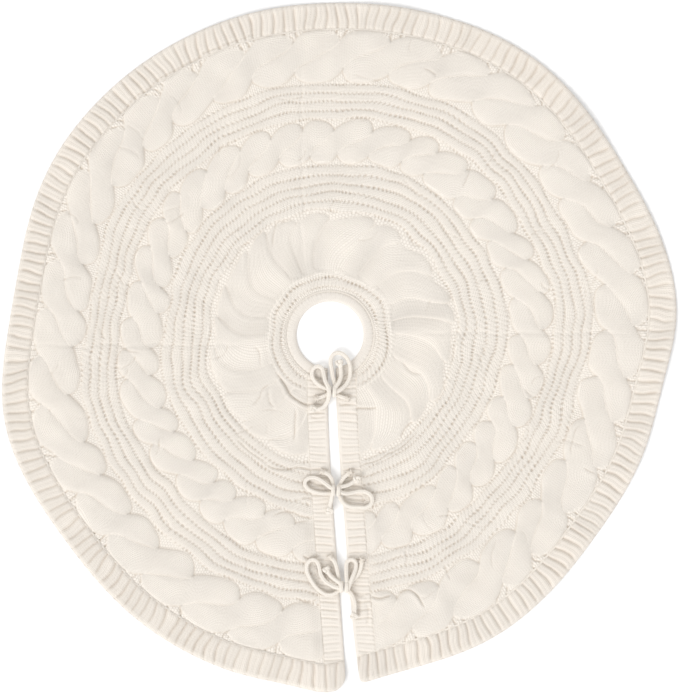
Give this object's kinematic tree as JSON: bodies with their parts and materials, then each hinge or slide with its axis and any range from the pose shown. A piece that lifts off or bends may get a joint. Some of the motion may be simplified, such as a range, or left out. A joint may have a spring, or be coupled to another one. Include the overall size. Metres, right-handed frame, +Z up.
{
  "type": "tree skirt",
  "caption": "Round chunky cable-knit tree skirt with ribbed hem, trunk hole and a front slit closed by three pairs of cord ties in bows.",
  "frame": {"origin": "centre of the trunk hole, on the floor under the skirt", "axes": "+Z up, the slit with its ties runs from the hole towards -Y, +X to the right of the slit seen from above"},
  "size_m": [1.2079, 1.2348, 0.0245],
  "materials": {
    "cable_knit": "soft matte knitted yarn, cable pattern",
    "collar_knit": "soft matte plain knit",
    "hem_rib_knit": "soft matte ribbed knit",
    "placket_rib_knit": "soft matte ribbed knit",
    "seam_yarn": "matte linking yarn",
    "tie_cord": "soft matte crocheted cord",
    "tie_knot": "soft matte crocheted cord, pulled tight",
    "tack_thread": "matte sewing yarn"
  },
  "bodies": {
    "back": {"back_body_panel": "cable_knit", "back_collar": "collar_knit", "back_collar_seam": "seam_yarn", "back_hem_rib": "hem_rib_knit", "back_hem_seam": "seam_yarn"},
    "front_left": {"bottom_left_bow_knot": "tie_knot", "bottom_left_end_knot": "tie_knot", "bottom_left_tack": "tack_thread", "bottom_left_tie": "tie_cord", "front_left_body_panel": "cable_knit", "front_left_collar": "collar_knit", "front_left_collar_seam": "seam_yarn", "front_left_hem_rib": "hem_rib_knit", "front_left_hem_seam": "seam_yarn", "front_left_placket": "placket_rib_knit", "front_left_placket_seam": "seam_yarn", "middle_left_bow_knot": "tie_knot", "middle_left_end_knot": "tie_knot", "middle_left_tack": "tack_thread", "middle_left_tie": "tie_cord", "top_left_bow_knot": "tie_knot", "top_left_end_knot": "tie_knot", "top_left_tack": "tack_thread", "top_left_tie": "tie_cord"},
    "front_right": {"bottom_right_bow_knot": "tie_knot", "bottom_right_end_knot": "tie_knot", "bottom_right_tack": "tack_thread", "bottom_right_tie": "tie_cord", "front_right_body_panel": "cable_knit", "front_right_collar": "collar_knit", "front_right_collar_seam": "seam_yarn", "front_right_hem_rib": "hem_rib_knit", "front_right_hem_seam": "seam_yarn", "front_right_placket": "placket_rib_knit", "front_right_placket_seam": "seam_yarn", "middle_right_bow_knot": "tie_knot", "middle_right_end_knot": "tie_knot", "middle_right_tack": "tack_thread", "middle_right_tie": "tie_cord", "top_right_bow_knot": "tie_knot", "top_right_end_knot": "tie_knot", "top_right_tack": "tack_thread", "top_right_tie": "tie_cord"}
  },
  "joints": [
    {"name": "fold_left", "type": "hinge", "parent": "back", "child": "front_left", "pos_m": [-0.3, 0, 0.012], "axis": [-1, 0, 0], "range_deg": [0, 160]},
    {"name": "fold_right", "type": "hinge", "parent": "back", "child": "front_right", "pos_m": [0.3, 0, 0.012], "axis": [-1, 0, 0], "range_deg": [0, 160]}
  ]
}
